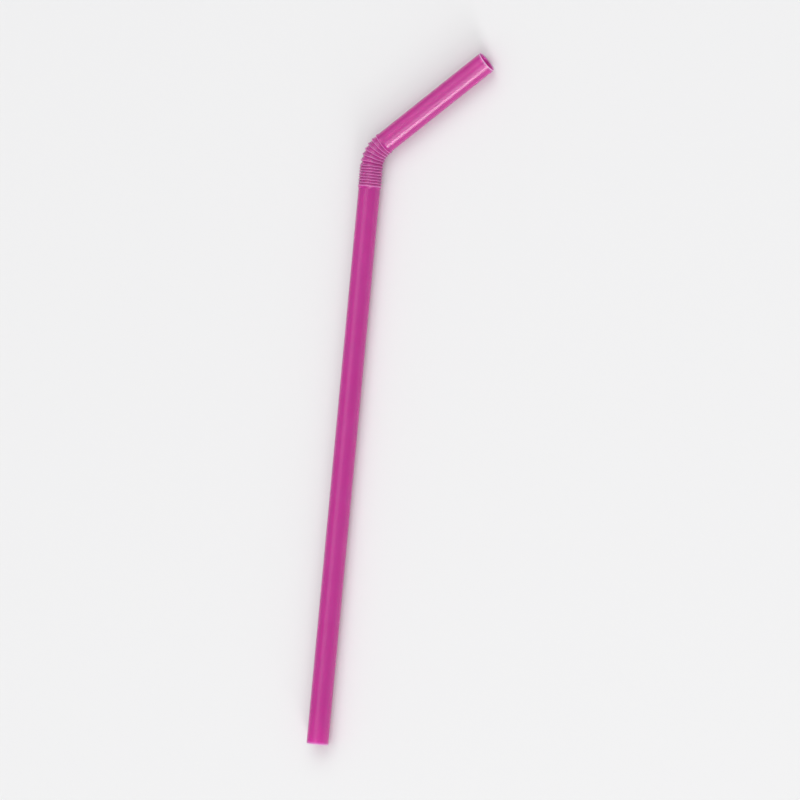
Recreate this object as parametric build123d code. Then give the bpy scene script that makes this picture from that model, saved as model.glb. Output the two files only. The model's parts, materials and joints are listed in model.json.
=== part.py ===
from build123d import *
import os
from collections import namedtuple
from math import degrees

# Flexible drinking straw, bent at its pleats and lying on a flat surface.
# One thin tube: a long stem, an elbow of folded pleats, and a short limb that ends in the mouth.
# Millimetres, +Z up. The stem runs along Y, its foot at the -Y end, and the mouth limb turns to +X.

# Plain tube
tube_diameter = 6.0
tube_wall = 0.2
stem_length = 152.0  # foot to the shoulder below the first pleat
mouth_length = 36.0  # shoulder above the last pleat to the mouth
shoulder_length = 0.55  # cone between the plain tube and the crest beside it

# Pleats: each is a long cone that narrows towards the mouth and a short cone that widens again.
# A tucked pleat has its short cone turned back inside the long one, and an open pleat has it forward.
crest_diameter = 6.5  # over the outside of the folds
valley_diameter = 5.0  # clear way through the inside of the folds
pleat_wall = 0.14  # stretched thinner than the tube
long_flank = 1.22  # along the axis
short_flank = 0.45  # along the axis
tucked_pleats = 7  # straight stretch next to the stem
fanned_pleats = 6  # elbow: open on its outer side, tucked on its inner side

# How far the bore runs past both cut ends
cut_overrun = 1.0

# Middle of the wall
tube_radius = (tube_diameter - tube_wall) / 2
crest_radius = (crest_diameter - pleat_wall) / 2
valley_radius = (valley_diameter + pleat_wall) / 2
fan_turn = degrees(short_flank / crest_radius)  # one fanned pleat

Ring = namedtuple("Ring", "centre heading radius half_wall form")


# Rings of the wall's middle from foot to mouth, both ends drawn out by the overrun
def walk_axis(overrun):
    heading = Vector(0, 1, 0)
    centre = heading * -overrun
    rings = [Ring(centre, heading, tube_radius, tube_wall / 2, "plain")]
    centre = heading * stem_length
    rings.append(Ring(centre, heading, tube_radius, tube_wall / 2, "plain"))
    centre += heading * shoulder_length
    for pleat in range(tucked_pleats + fanned_pleats):
        valley = centre + heading * long_flank
        rings.append(Ring(centre, heading, crest_radius, pleat_wall / 2, "crest"))
        rings.append(Ring(valley, heading, valley_radius, pleat_wall / 2, "valley"))
        if pleat < tucked_pleats:
            centre += heading * (long_flank - short_flank)
        else:
            centre += heading.rotate(Axis.Z, -fan_turn / 2) * long_flank
            heading = heading.rotate(Axis.Z, -fan_turn)
    rings.append(Ring(centre, heading, crest_radius, pleat_wall / 2, "crest"))
    centre += heading * shoulder_length
    rings.append(Ring(centre, heading, tube_radius, tube_wall / 2, "plain"))
    centre += heading * (mouth_length + overrun)
    rings.append(Ring(centre, heading, tube_radius, tube_wall / 2, "plain"))
    return rings


# One skin of the wall in the plane of the bend, on the outer (+1) or inner (-1) side of the bend.
# The skin that goes round a fold has three points there, and the skin inside it has one.
def skin_line(rings, bend_side, skin_side, round_form):
    line = [ring.centre + ring.heading.rotate(Axis.Z, 90) * (ring.radius * bend_side) for ring in rings]
    runs = [(end - start).normalized() for start, end in zip(line, line[1:])]
    normals = [run.rotate(Axis.Z, 90) * (bend_side * skin_side) for run in runs]
    points = []
    for ring, point, before, after in zip(rings, line, normals[:1] + normals, normals + normals[-1:]):
        between = before + after
        if ring.form == round_form:
            for way in (before, between.normalized(), after):
                points.append(point + way * ring.half_wall)
        else:
            points.append(point + between * (ring.half_wall / (1 + before.dot(after))))
    return points


# Solid inside one skin: circles across the bend, joined by cones, with a plain cylinder at each end
def skin_solid(rings, skin_side, round_form):
    outer_side = skin_line(rings, 1, skin_side, round_form)
    inner_side = skin_line(rings, -1, skin_side, round_form)
    circles = []
    for far, near in zip(outer_side, inner_side):
        across = far - near
        plane = Plane((far + near) / 2, x_dir=across, z_dir=across.rotate(Axis.Z, -90))
        circles.append(plane * Circle(across.length / 2))
    stem = extrude(circles[0], (outer_side[1] - outer_side[0]).length)
    limb = extrude(circles[-2], (outer_side[-1] - outer_side[-2]).length)
    return stem + loft(circles[1:-1], ruled=True) + limb


# The tube: its outside less its bore
outside = skin_solid(walk_axis(0), 1, "crest")
bore = skin_solid(walk_axis(cut_overrun), -1, "valley")
straw = outside - bore

# It lies with its bend level, on its crests, and the origin is under the middle of the part
box = straw.bounding_box()
middle = box.center()
straw = Pos(-middle.X, -middle.Y, -box.min.Z) * straw
straw.label = "straw"

os.makedirs("parts", exist_ok=True)
export_step(straw, "parts/straw.step")
print("volume", straw.volume, "valid", straw.is_valid, "bend", fan_turn * fanned_pleats)
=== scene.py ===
import json
import math
import bpy
from mathutils import Matrix, Vector


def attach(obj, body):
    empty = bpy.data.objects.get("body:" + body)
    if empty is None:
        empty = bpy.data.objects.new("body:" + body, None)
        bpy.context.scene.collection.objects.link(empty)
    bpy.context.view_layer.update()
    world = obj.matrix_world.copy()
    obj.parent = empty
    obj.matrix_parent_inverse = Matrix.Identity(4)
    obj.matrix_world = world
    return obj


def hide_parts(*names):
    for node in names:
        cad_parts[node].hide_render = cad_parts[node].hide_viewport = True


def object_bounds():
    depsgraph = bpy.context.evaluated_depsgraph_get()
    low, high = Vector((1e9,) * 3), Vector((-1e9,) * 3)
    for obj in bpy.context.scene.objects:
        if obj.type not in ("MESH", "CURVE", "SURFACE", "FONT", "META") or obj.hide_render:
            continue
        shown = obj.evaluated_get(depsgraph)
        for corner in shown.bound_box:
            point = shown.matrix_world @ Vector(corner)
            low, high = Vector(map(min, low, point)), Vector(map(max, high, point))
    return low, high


# flexible drinking straw, lying with its elbow bent: one tube of tinted plastic on a pale floor
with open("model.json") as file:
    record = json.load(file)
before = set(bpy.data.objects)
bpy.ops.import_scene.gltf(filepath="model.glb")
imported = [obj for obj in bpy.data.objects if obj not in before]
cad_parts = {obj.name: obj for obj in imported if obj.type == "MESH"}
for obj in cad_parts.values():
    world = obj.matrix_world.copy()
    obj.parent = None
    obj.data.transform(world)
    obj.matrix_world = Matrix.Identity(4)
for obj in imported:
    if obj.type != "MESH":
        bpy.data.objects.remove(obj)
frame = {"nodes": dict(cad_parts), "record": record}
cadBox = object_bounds()
mountOf = {mount["name"]: mount for mount in frame["record"]["mounts"]}
mmPerMetre = 1000  # the mounts give their sizes in millimetres
print("frame loaded:", sorted(frame["nodes"]))


def deselectAll():
    if bpy.context.mode != "OBJECT":
        bpy.ops.object.mode_set(mode="OBJECT")
    bpy.ops.object.select_all(action="DESELECT")


def pickOnly(piece):
    deselectAll()
    piece.select_set(True)
    bpy.context.view_layer.objects.active = piece


# sizes in metres: the tube's radii come from the frame, the lengths and pleats repeat the solid's own
strawSizes = {
    "tubeRadius": mountOf["stem_outside"]["dims"]["r_mm"] / mmPerMetre,
    "boreRadius": mountOf["stem_bore"]["dims"]["r_mm"] / mmPerMetre,
    "stemLength": 0.152,  # foot to the shoulder below the first pleat
    "mouthLength": 0.036,  # shoulder above the last pleat to the mouth
    "shoulderLength": 0.00055,
    "crestDiameter": 0.0065,
    "valleyDiameter": 0.0050,
    "pleatWall": 0.00014,
    "longFlank": 0.00122,
    "shortFlank": 0.00045,
    "tuckedPleats": 7,
    "fannedPleats": 6,
    "segments": 96,  # round the tube
    "foldSteps": 5,  # rings round the outside of a fold
    "creaseSoft": 0.00005,  # rounding inside a fold
    "shoulderSoft": 0.00018,  # rounding where a shoulder meets the tube
    "cornerShare": 0.25,  # of the rounding, by which it stays inside the sharp corner
    "foldHold": 0.00010,  # flat of a flank starts this far from its fold
    "shoulderHold": 0.00030,
    "cutPaleReach": 0.00016,  # paler for this far: whitened by the cutter, and in part a painted highlight for the light the rim catches
    "cutFade": 0.00070,
    "rimBevel": 0.00004,  # the cut edges aren't knife sharp
    "rimSegments": 2,
    "crestStrainAndHighlight": 0.34,  # whitened by strain, and in part a painted highlight for the shine on the crests: 0 is clear plastic, 1 is chalky
    "creaseStress": 0.08,
    # the cut rims are painted pale: whitened by the cutter, and in part a painted highlight
    "cutStrainAndHighlight": 1.0,
    "leastChange": 1e-7,  # a ring that turns or grows by less is left as it is
    "smoothAngle": math.radians(40),
}


def turnedRight(way, angle):
    return Vector((way.x * math.cos(angle) + way.y * math.sin(angle),
                   way.y * math.cos(angle) - way.x * math.sin(angle)))


def leftOf(way):
    return Vector((-way.y, way.x))


# stops along the tube, at the middle of its wall, from the foot to the mouth in the plane of the bend
def axisStops(size):
    tubeMid = (size["tubeRadius"] + size["boreRadius"]) / 2
    tubeHalf = (size["tubeRadius"] - size["boreRadius"]) / 2
    crestMid = (size["crestDiameter"] - size["pleatWall"]) / 2
    valleyMid = (size["valleyDiameter"] + size["pleatWall"]) / 2
    pleatHalf = size["pleatWall"] / 2
    fanTurn = size["shortFlank"] / crestMid
    stops = []
    centre = Vector((0, 0))
    heading = Vector((0, 1))

    def stop(form, place, radius, half):
        stops.append({"form": form, "centre": place.copy(), "heading": heading.copy(),
                      "radius": radius, "half": half})

    stop("end", centre, tubeMid, tubeHalf)
    centre += heading * size["stemLength"]
    stop("shoulder", centre, tubeMid, tubeHalf)
    centre += heading * size["shoulderLength"]
    for pleat in range(size["tuckedPleats"] + size["fannedPleats"]):
        stop("crest", centre, crestMid, pleatHalf)
        stop("valley", centre + heading * size["longFlank"], valleyMid, pleatHalf)
        if pleat < size["tuckedPleats"]:
            centre += heading * (size["longFlank"] - size["shortFlank"])
        else:  # open on the outer side of the bend, still tucked on the inner side
            centre += turnedRight(heading, fanTurn / 2) * size["longFlank"]
            heading = turnedRight(heading, fanTurn)
    stop("crest", centre, crestMid, pleatHalf)
    centre += heading * size["shoulderLength"]
    stop("shoulder", centre, tubeMid, tubeHalf)
    centre += heading * size["mouthLength"]
    stop("end", centre, tubeMid, tubeHalf)
    return stops


# one skin of the wall on one side of the bend: an arc outside each fold, a softened corner inside it
def skinLine(size, stops, bendSide, skinSide, roundForm):
    line = [stop["centre"] + leftOf(stop["heading"]) * (stop["radius"] * bendSide) for stop in stops]
    runs = [(end - start).normalized() for start, end in zip(line, line[1:])]
    corners = []
    for number, stop in enumerate(stops):
        runBefore = runs[max(number - 1, 0)]
        runAfter = runs[min(number, len(runs) - 1)]
        before = leftOf(runBefore) * (bendSide * skinSide)
        after = leftOf(runAfter) * (bendSide * skinSide)
        corner = line[number] + (before + after) * (stop["half"] / (1 + before.dot(after)))
        if stop["form"] == "end":
            places = [corner]
        elif stop["form"] == roundForm:
            turn = before.angle_signed(after)
            steps = size["foldSteps"] - 1
            places = [line[number] + turnedRight(before, turn * step / steps) * stop["half"]
                      for step in range(steps + 1)]
        else:
            soft = size["shoulderSoft"] if stop["form"] == "shoulder" else size["creaseSoft"]
            inset = soft * size["cornerShare"]
            places = [corner - runBefore * soft, corner + (runAfter - runBefore) * inset,
                      corner + runAfter * soft]
        corners.append(places)
    # holding points keep the flats between the corners flat
    points = []
    for number, places in enumerate(corners):
        form = stops[number]["form"]
        # fold crests and cut rims get a paler share: strain whitening, and in part a painted highlight
        if form == "end":
            strainAndHighlight = size["cutStrainAndHighlight"]
            holds = [(size["cutPaleReach"], strainAndHighlight), (size["cutFade"], 0)]
        elif form == "shoulder":
            strainAndHighlight = 0
            holds = [(size["shoulderHold"], strainAndHighlight)]
        else:
            strainAndHighlight = size["crestStrainAndHighlight"] if form == roundForm else size["creaseStress"]
            holds = [(size["foldHold"], strainAndHighlight)]
        if number > 0:
            way = (corners[number - 1][-1] - places[0]).normalized()
            points += [(places[0] + way * hold, "flat", held) for hold, held in reversed(holds)]
        points += [(place, form, strainAndHighlight) for place in places]
        if number < len(corners) - 1:
            way = (corners[number + 1][0] - places[-1]).normalized()
            points += [(places[-1] + way * hold, "flat", held) for hold, held in holds]
    return points


# rings of one skin, each a circle across the bend
def skinRings(size, stops, skinSide, roundForm):
    outerSide = skinLine(size, stops, 1, skinSide, roundForm)
    innerSide = skinLine(size, stops, -1, skinSide, roundForm)
    rings = []
    along = 0
    for (far, form, strainAndHighlight), (near, _, _) in zip(outerSide, innerSide):
        across = near - far
        centre = (far + near) / 2
        if rings:
            along += (centre - rings[-1]["centre"]).length
        rings.append({"centre": centre, "radius": across.length / 2, "along": along,
                      "angle": math.atan2(across.y, across.x), "cut": form == "end",
                      "strainAndHighlight": strainAndHighlight})
    return rings


def makeStraw(size):
    stops = axisStops(size)
    rings = skinRings(size, stops, 1, "crest")
    rings += reversed(skinRings(size, stops, -1, "valley"))
    deselectAll()
    bpy.ops.mesh.primitive_circle_add(vertices=size["segments"], radius=rings[0]["radius"],
                                      location=(0, 0, 0), rotation=(math.pi / 2, 0, 0))
    piece = bpy.context.object
    piece.name = "straw_tube"
    bpy.ops.object.transform_apply(location=False, rotation=True, scale=False)
    bpy.ops.object.mode_set(mode="EDIT")
    bpy.ops.mesh.select_all(action="SELECT")
    # up the outside from the foot, over the rim of the mouth and back down the bore
    for last, ring in zip(rings, rings[1:]):
        move = ring["centre"] - last["centre"]
        turn = ring["angle"] - last["angle"]
        turn = math.atan2(math.sin(turn), math.cos(turn))
        grow = ring["radius"] / last["radius"]
        pivot = (ring["centre"].x, ring["centre"].y, 0)
        bpy.ops.mesh.extrude_region_move(TRANSFORM_OT_translate={"value": (move.x, move.y, 0)})
        if abs(turn) > size["leastChange"]:
            bpy.ops.transform.rotate(value=-turn, orient_axis="Z", center_override=pivot)
        if abs(grow - 1) > size["leastChange"]:
            bpy.ops.transform.resize(value=(grow, grow, grow), center_override=pivot)
    bpy.ops.mesh.select_all(action="DESELECT")
    bpy.ops.mesh.select_non_manifold()
    bpy.ops.mesh.bridge_edge_loops()
    bpy.ops.mesh.select_all(action="SELECT")
    bpy.ops.mesh.normals_make_consistent(inside=False)
    bpy.ops.object.mode_set(mode="OBJECT")
    return piece, rings


# each point's place on the straightened tube, and how far its plastic was strained, which on the fold
# crests and cut rims also stands for a painted highlight
def markStraw(piece, rings, size):
    piece.data.attributes.new("straightPlace", "FLOAT_VECTOR", "POINT")
    piece.data.attributes.new("foldStrainAndHighlight", "FLOAT", "POINT")
    places = piece.data.attributes["straightPlace"]
    strainAndHighlightValues = piece.data.attributes["foldStrainAndHighlight"]
    cutPoints = set()
    for point in piece.data.vertices:
        ring = rings[point.index // size["segments"]]
        way = Vector((math.cos(ring["angle"]), math.sin(ring["angle"])))
        side = (Vector((point.co.x, point.co.y)) - ring["centre"]).dot(way) / ring["radius"]
        rise = point.co.z / ring["radius"]
        straightened = (side * size["tubeRadius"], rise * size["tubeRadius"], ring["along"])
        places.data[point.index].vector = straightened
        strainAndHighlightValues.data[point.index].value = ring["strainAndHighlight"]
        if ring["cut"]:
            cutPoints.add(point.index)
    return cutPoints


def bevelRims(piece, cutPoints, size):
    pickOnly(piece)
    bpy.ops.object.mode_set(mode="EDIT")
    bpy.ops.mesh.select_mode(type="EDGE")
    bpy.ops.mesh.select_all(action="DESELECT")
    bpy.ops.object.mode_set(mode="OBJECT")
    perRing = size["segments"]
    for edge in piece.data.edges:
        first, second = edge.vertices
        edge.select = {first, second} <= cutPoints and first // perRing == second // perRing
    bpy.ops.object.mode_set(mode="EDIT")
    bpy.ops.mesh.bevel(offset=size["rimBevel"], segments=size["rimSegments"], affect="EDGES")
    bpy.ops.object.mode_set(mode="OBJECT")


straw, strawRings = makeStraw(strawSizes)
rimPoints = markStraw(straw, strawRings, strawSizes)
bevelRims(straw, rimPoints, strawSizes)

# laid where the frame has it: it was modelled from the centre of its foot
stemMount = mountOf["stem_outside"]
stemHalf = stemMount["dims"]["length_mm"] / mmPerMetre / 2
straw.location = Vector(stemMount["pos_m"]) + Vector(stemMount["axis"]) * stemHalf
pickOnly(straw)
bpy.ops.object.transform_apply(location=True, rotation=True, scale=True)
bpy.ops.object.shade_smooth_by_angle(angle=strawSizes["smoothAngle"])
print("straw modelled:", len(strawRings), "rings,", len(straw.data.vertices), "points")

# faint lines that the extruder leaves along the tube, over soft clouds of uneven wall
grainLook = {
    "lineStretch": 0.004,  # scale along the tube, as a share of the scale across it
    "lineDetail": 2,
    "lineShare": 0.65,
    "cloudDetail": 3,
    "cloudShare": 0.35,
    "spread": (0.32, 0.68),  # this stretch of the mix is drawn out to 0 and 1
}


def makeWallGrain(look):
    group = bpy.data.node_groups.new("wallGrain", "ShaderNodeTree")
    group.interface.new_socket("Place", in_out="INPUT", socket_type="NodeSocketVector")
    for name in ("Line Scale", "Cloud Scale"):
        group.interface.new_socket(name, in_out="INPUT", socket_type="NodeSocketFloat")
    for name in ("Streaks", "Relief"):
        group.interface.new_socket(name, in_out="OUTPUT", socket_type="NodeSocketFloat")
    nodes, links = group.nodes, group.links
    given = nodes.new("NodeGroupInput")
    result = nodes.new("NodeGroupOutput")

    stretch = nodes.new("ShaderNodeMapping")
    stretch.inputs["Scale"].default_value = (1, 1, look["lineStretch"])
    links.new(given.outputs["Place"], stretch.inputs["Vector"])
    dieLines = nodes.new("ShaderNodeTexNoise")
    dieLines.inputs["Detail"].default_value = look["lineDetail"]
    links.new(stretch.outputs["Vector"], dieLines.inputs["Vector"])
    links.new(given.outputs["Line Scale"], dieLines.inputs["Scale"])
    clouds = nodes.new("ShaderNodeTexNoise")
    clouds.inputs["Detail"].default_value = look["cloudDetail"]
    links.new(given.outputs["Place"], clouds.inputs["Vector"])
    links.new(given.outputs["Cloud Scale"], clouds.inputs["Scale"])

    cloudShare = nodes.new("ShaderNodeMath")
    cloudShare.operation = "MULTIPLY"
    cloudShare.inputs[1].default_value = look["cloudShare"]
    links.new(clouds.outputs["Fac"], cloudShare.inputs[0])
    both = nodes.new("ShaderNodeMath")
    both.operation = "MULTIPLY_ADD"
    both.inputs[1].default_value = look["lineShare"]
    links.new(dieLines.outputs["Fac"], both.inputs[0])
    links.new(cloudShare.outputs[0], both.inputs[2])
    spread = nodes.new("ShaderNodeMapRange")
    lowest, highest = look["spread"]
    spread.inputs["From Min"].default_value = lowest
    spread.inputs["From Max"].default_value = highest
    links.new(both.outputs[0], spread.inputs["Value"])
    links.new(spread.outputs["Result"], result.inputs["Streaks"])
    links.new(dieLines.outputs["Fac"], result.inputs["Relief"])
    return group


# clear wall, tinted all through, paler towards the folds by strain whitening, and towards the crests in
# part by a painted highlight
clearLook = {
    "name": "tintedPlastic",
    "tint": (0.88, 0.058, 0.55),
    "streakTint": (0.90, 0.095, 0.61),  # thin streaks of the wall
    # paler where strained: strain whitening, and on the fold crests and cut rims in part a painted
    # highlight
    "strainAndHighlightTint": (0.96, 0.45, 0.86),
    "roughness": (0.17, 0.23),
    "strainRoughness": 0.28,
    "transmission": 0.66,
    "ior": 1.49,
    "lineScale": 800.0,
    "cloudScale": 160.0,
    "bumpStrength": 0.35,
    "bumpDepth": 0.000002,
}
# crests of the folds and cut rims, where the plastic has gone chalky, and where the paler colour is in
# part a painted highlight for the light they catch
paleAndHighlightLook = {
    "name": "paleAndHighlightPlastic",
    "tint": (0.89, 0.056, 0.57),
    "streakTint": (0.92, 0.115, 0.66),
    # paler where strained: strain whitening, and on the fold crests and cut rims in part a painted
    # highlight
    "strainAndHighlightTint": (0.98, 0.60, 0.90),
    "roughness": (0.28, 0.36),
    "strainRoughness": 0.34,
    "transmission": 0.40,
    "ior": 1.49,
    "lineScale": 800.0,
    "cloudScale": 900.0,
    "bumpStrength": 0.35,
    "bumpDepth": 0.000004,
    "fromStrainAndHighlight": 0.30,  # faces strained by more than this: the fold crests and cut rims, whose paleness is in part a painted highlight
}


def makePlastic(look, grain):
    material = bpy.data.materials.new(look["name"])
    material.use_nodes = True
    nodes, links = material.node_tree.nodes, material.node_tree.links
    shader = nodes["Principled BSDF"]
    shader.inputs["Transmission Weight"].default_value = look["transmission"]
    shader.inputs["IOR"].default_value = look["ior"]

    place = nodes.new("ShaderNodeAttribute")
    place.attribute_name = "straightPlace"
    strainAndHighlightNode = nodes.new("ShaderNodeAttribute")
    strainAndHighlightNode.attribute_name = "foldStrainAndHighlight"
    wall = nodes.new("ShaderNodeGroup")
    wall.node_tree = grain
    wall.inputs["Line Scale"].default_value = look["lineScale"]
    wall.inputs["Cloud Scale"].default_value = look["cloudScale"]
    links.new(place.outputs["Vector"], wall.inputs["Place"])

    wallTint = nodes.new("ShaderNodeMix")
    wallTint.data_type = "RGBA"
    wallTint.inputs["A"].default_value = (*look["tint"], 1)
    wallTint.inputs["B"].default_value = (*look["streakTint"], 1)
    links.new(wall.outputs["Streaks"], wallTint.inputs["Factor"])
    # paler towards the folds and cut rims: strain whitening, and in part a painted highlight
    foldTint = nodes.new("ShaderNodeMix")
    foldTint.data_type = "RGBA"
    foldTint.inputs["B"].default_value = (*look["strainAndHighlightTint"], 1)
    links.new(strainAndHighlightNode.outputs["Fac"], foldTint.inputs["Factor"])
    links.new(wallTint.outputs["Result"], foldTint.inputs["A"])
    links.new(foldTint.outputs["Result"], shader.inputs["Base Color"])

    smoothest, roughest = look["roughness"]
    wallRough = nodes.new("ShaderNodeMapRange")
    wallRough.inputs["To Min"].default_value = smoothest
    wallRough.inputs["To Max"].default_value = roughest
    links.new(wall.outputs["Streaks"], wallRough.inputs["Value"])
    foldRough = nodes.new("ShaderNodeMix")
    foldRough.inputs["B"].default_value = look["strainRoughness"]
    links.new(strainAndHighlightNode.outputs["Fac"], foldRough.inputs["Factor"])
    links.new(wallRough.outputs["Result"], foldRough.inputs["A"])
    links.new(foldRough.outputs["Result"], shader.inputs["Roughness"])

    bump = nodes.new("ShaderNodeBump")
    bump.inputs["Strength"].default_value = look["bumpStrength"]
    bump.inputs["Distance"].default_value = look["bumpDepth"]
    links.new(wall.outputs["Relief"], bump.inputs["Height"])
    links.new(bump.outputs["Normal"], shader.inputs["Normal"])
    return material


wallGrain = makeWallGrain(grainLook)
clearSlot, paleAndHighlightSlot = 0, 1
straw.data.materials.append(makePlastic(clearLook, wallGrain))
straw.data.materials.append(makePlastic(paleAndHighlightLook, wallGrain))
# fold crests and cut rims take the paler plastic: strain whitening, and in part a painted highlight
foldStrainAndHighlight = straw.data.attributes["foldStrainAndHighlight"]
for face in straw.data.polygons:
    faceStrainAndHighlight = min(foldStrainAndHighlight.data[point].value for point in face.vertices)
    face.material_index = paleAndHighlightSlot if faceStrainAndHighlight > paleAndHighlightLook["fromStrainAndHighlight"] else clearSlot
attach(straw, "root")
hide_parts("straw")
print("plastic on")

# pale floor under the straw
floorLook = {"width": 30.0, "colour": (0.82, 0.82, 0.825), "roughness": 0.7, "shine": 0.0}
deselectAll()
bpy.ops.mesh.primitive_plane_add(size=floorLook["width"], location=(0, 0, 0))
floor = bpy.context.object
floor.name = "floor"
paleFloor = bpy.data.materials.new("paleFloor")
paleFloor.use_nodes = True
floorShader = paleFloor.node_tree.nodes["Principled BSDF"]
floorShader.inputs["Base Color"].default_value = (*floorLook["colour"], 1)
floorShader.inputs["Roughness"].default_value = floorLook["roughness"]
floorShader.inputs["Specular IOR Level"].default_value = floorLook["shine"]
floor.data.materials.append(paleFloor)

# soft boxes: two past the ends of the stem, a weak one overhead, three one above the other beside the
# mouth limb, which mirrors them as a glow, a bright streak and a paler edge, and one for its far side
limbMiddle = mountOf["mouth_outside"]["pos_m"]
lightRig = {
    "headBox": {"from": (-0.01, 1.81, 2.10), "at": (-0.01, 0.06, 0), "size": (2.50, 1.75), "watts": 20.5},
    "footBox": {"from": (-0.01, -2.10, 1.88), "at": (-0.01, -0.02, 0), "size": (2.50, 1.50), "watts": 5.0},
    "overhead": {"from": (-0.30, 0.00, 2.25), "at": (0, 0, 0), "size": (1.30, 1.50), "watts": 5.0},
    "limbGlow": {"from": (0.50, -1.30, 2.10), "at": limbMiddle, "size": (1.25, 1.25), "watts": 12.5},
    "limbStrip": {"from": (1.44, -2.67, 1.68), "at": limbMiddle, "size": (0.80, 1.20), "watts": 26.5},
    "limbEdge": {"from": (1.44, -2.52, 0.75), "at": limbMiddle, "size": (1.10, 0.90), "watts": 12.0},
    "limbSheen": {"from": (-1.39, 0.73, 2.05), "at": limbMiddle, "size": (0.90, 1.65), "watts": 4.0},
}
for name, lamp in lightRig.items():
    lampData = bpy.data.lights.new(name, "AREA")
    lampData.shape = "RECTANGLE"
    lampData.size, lampData.size_y = lamp["size"]
    lampData.energy = lamp["watts"]
    lampObject = bpy.data.objects.new(name, lampData)
    bpy.context.scene.collection.objects.link(lampObject)
    lampObject.location = lamp["from"]
    aim = Vector(lamp["at"]) - Vector(lamp["from"])
    lampObject.rotation_euler = aim.to_track_quat("-Z", "Y").to_euler()
    lampObject.visible_camera = False  # low views look past the boxes

# white room all round
roomLook = {"colour": (1, 1, 1), "strength": 0.45}
room = bpy.data.worlds.new("softRoom")
room.use_nodes = True
roomShader = room.node_tree.nodes["Background"]
roomShader.inputs["Color"].default_value = (*roomLook["colour"], 1)
roomShader.inputs["Strength"].default_value = roomLook["strength"]
bpy.context.scene.world = room
bpy.context.scene.view_settings.view_transform = "Standard"

# light crosses many walls in the pleats
bounceCounts = {
    "max_bounces": 64,
    "transmission_bounces": 64,
    "glossy_bounces": 48,
    "diffuse_bounces": 32,
}
for kind, count in bounceCounts.items():
    setattr(bpy.context.scene.cycles, kind, count)
print("floor and lights set")

# camera at the photo's angle: tipped to the side that the mouth limb bends to, the stem leaning a little
view = {"lens": 200.0, "sideTilt": math.radians(20.0), "lean": math.radians(5.35), "frameHeight": 0.217}
target = (Vector(cadBox[0]) + Vector(cadBox[1])) / 2
backward = Vector((math.sin(view["sideTilt"]), 0, math.cos(view["sideTilt"])))
alongStem = Vector((0, 1, 0))
rightward = alongStem.cross(backward)
upward = alongStem * math.cos(view["lean"]) - rightward * math.sin(view["lean"])
sideways = upward.cross(backward)
cameraData = bpy.data.cameras.new("camera")
cameraData.lens = view["lens"]
eye = target + backward * (view["frameHeight"] * view["lens"] / cameraData.sensor_width)
camera = bpy.data.objects.new("camera", cameraData)
bpy.context.scene.collection.objects.link(camera)
camera.matrix_world = Matrix(((sideways.x, upward.x, backward.x, eye.x),
                              (sideways.y, upward.y, backward.y, eye.y),
                              (sideways.z, upward.z, backward.z, eye.z),
                              (0, 0, 0, 1)))
bpy.context.scene.camera = camera
print("camera set")
